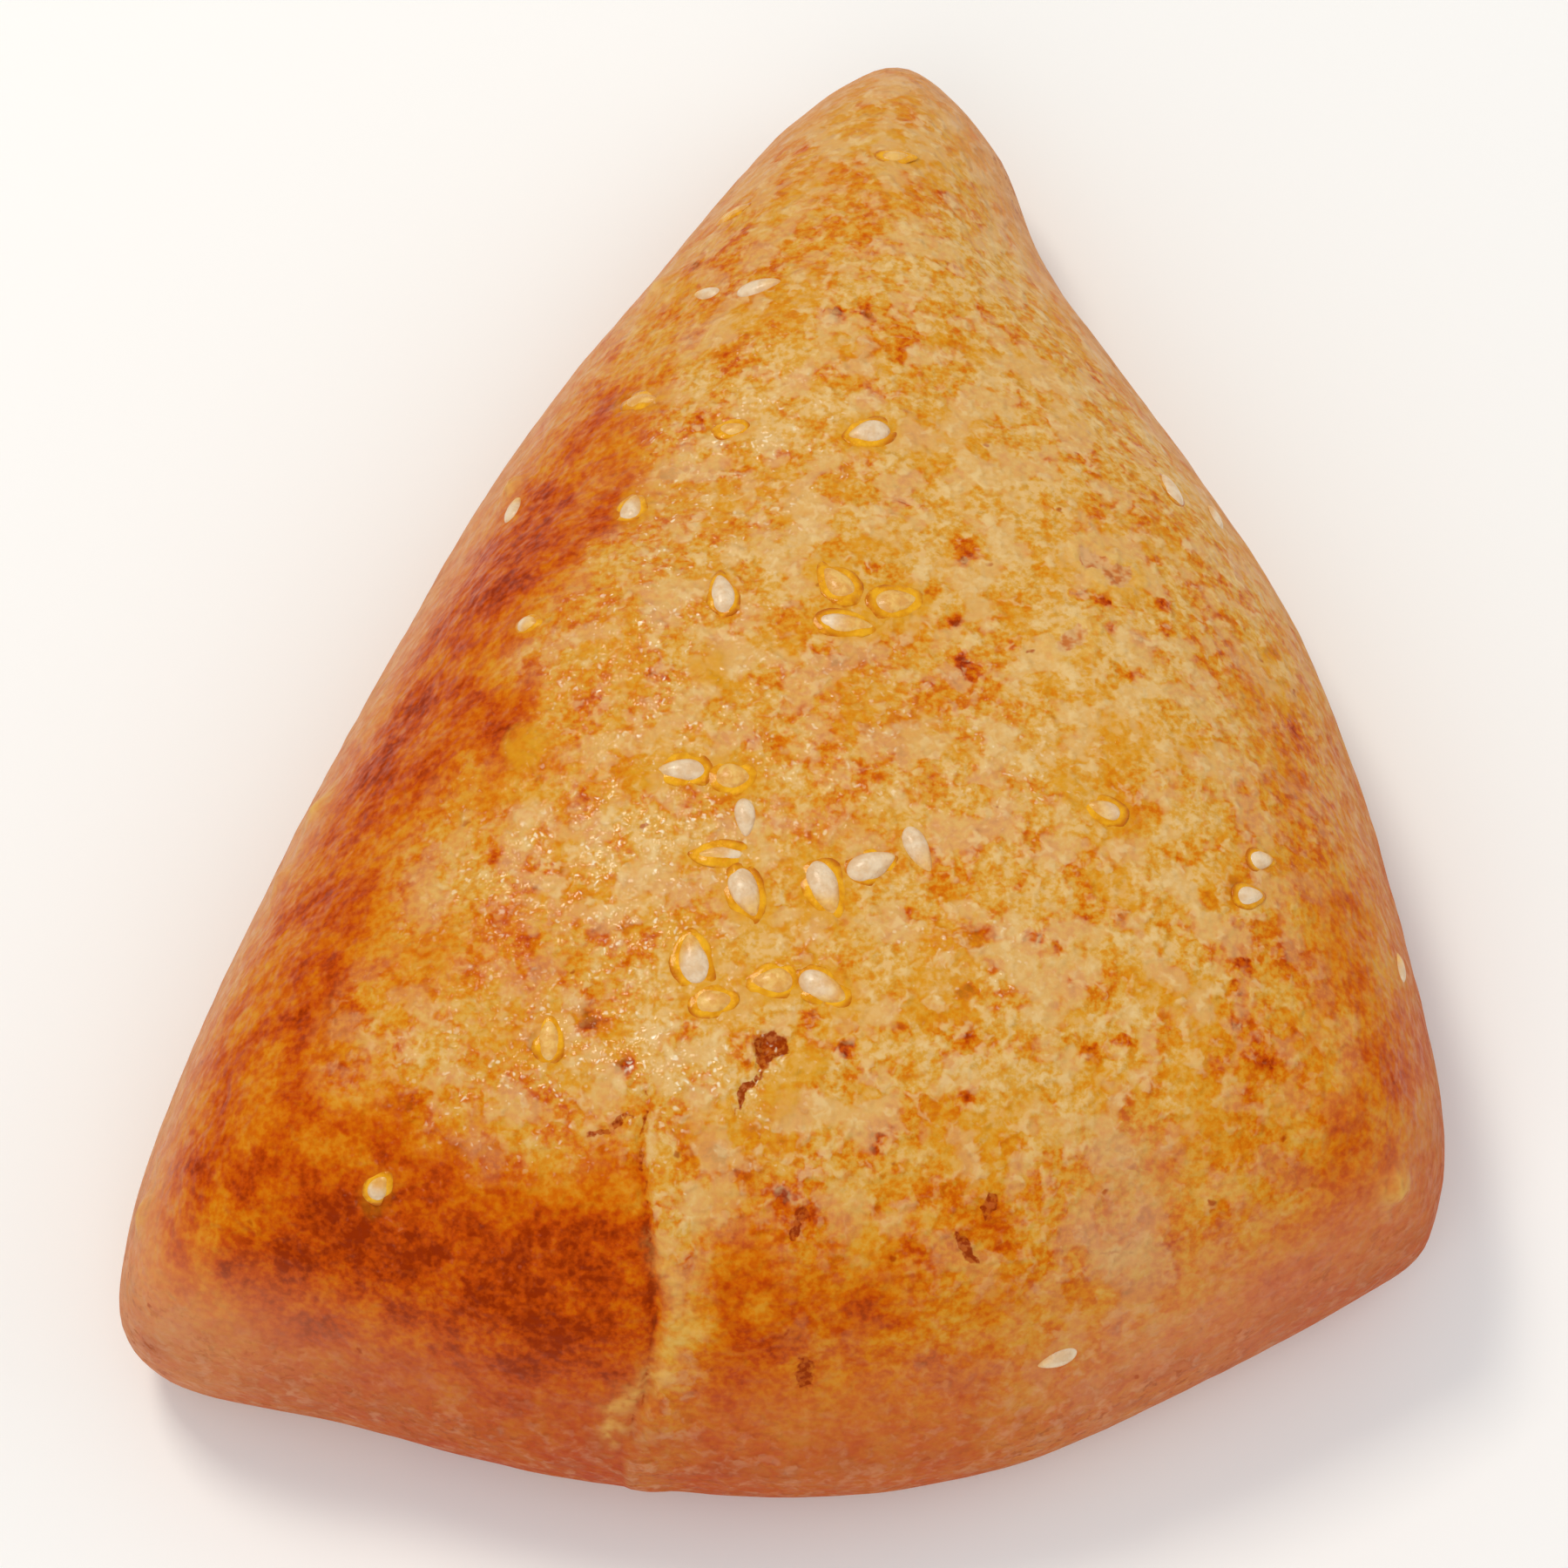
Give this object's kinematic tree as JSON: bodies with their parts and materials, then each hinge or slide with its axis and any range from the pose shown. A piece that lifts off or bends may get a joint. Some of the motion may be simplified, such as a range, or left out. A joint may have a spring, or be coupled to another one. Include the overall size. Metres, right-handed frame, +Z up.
{
  "type": "sfiha",
  "caption": "Closed triangular savoury pastry of baked dough with a puffy rounded top, a flat foot and scattered sesame seeds.",
  "frame": {"origin": "middle of the pastry's box seen from above, at the level of its flat foot", "axes": "+Y towards the nose, the narrow corner; +X towards the right-hand corner; +Z up"},
  "size_m": [0.0849, 0.103, 0.0301],
  "materials": {
    "baked_crust": "egg-washed, satin",
    "sesame_seed": "satin"
  },
  "bodies": {
    "root": {"sfiha": "baked_crust"}
  },
  "joints": []
}
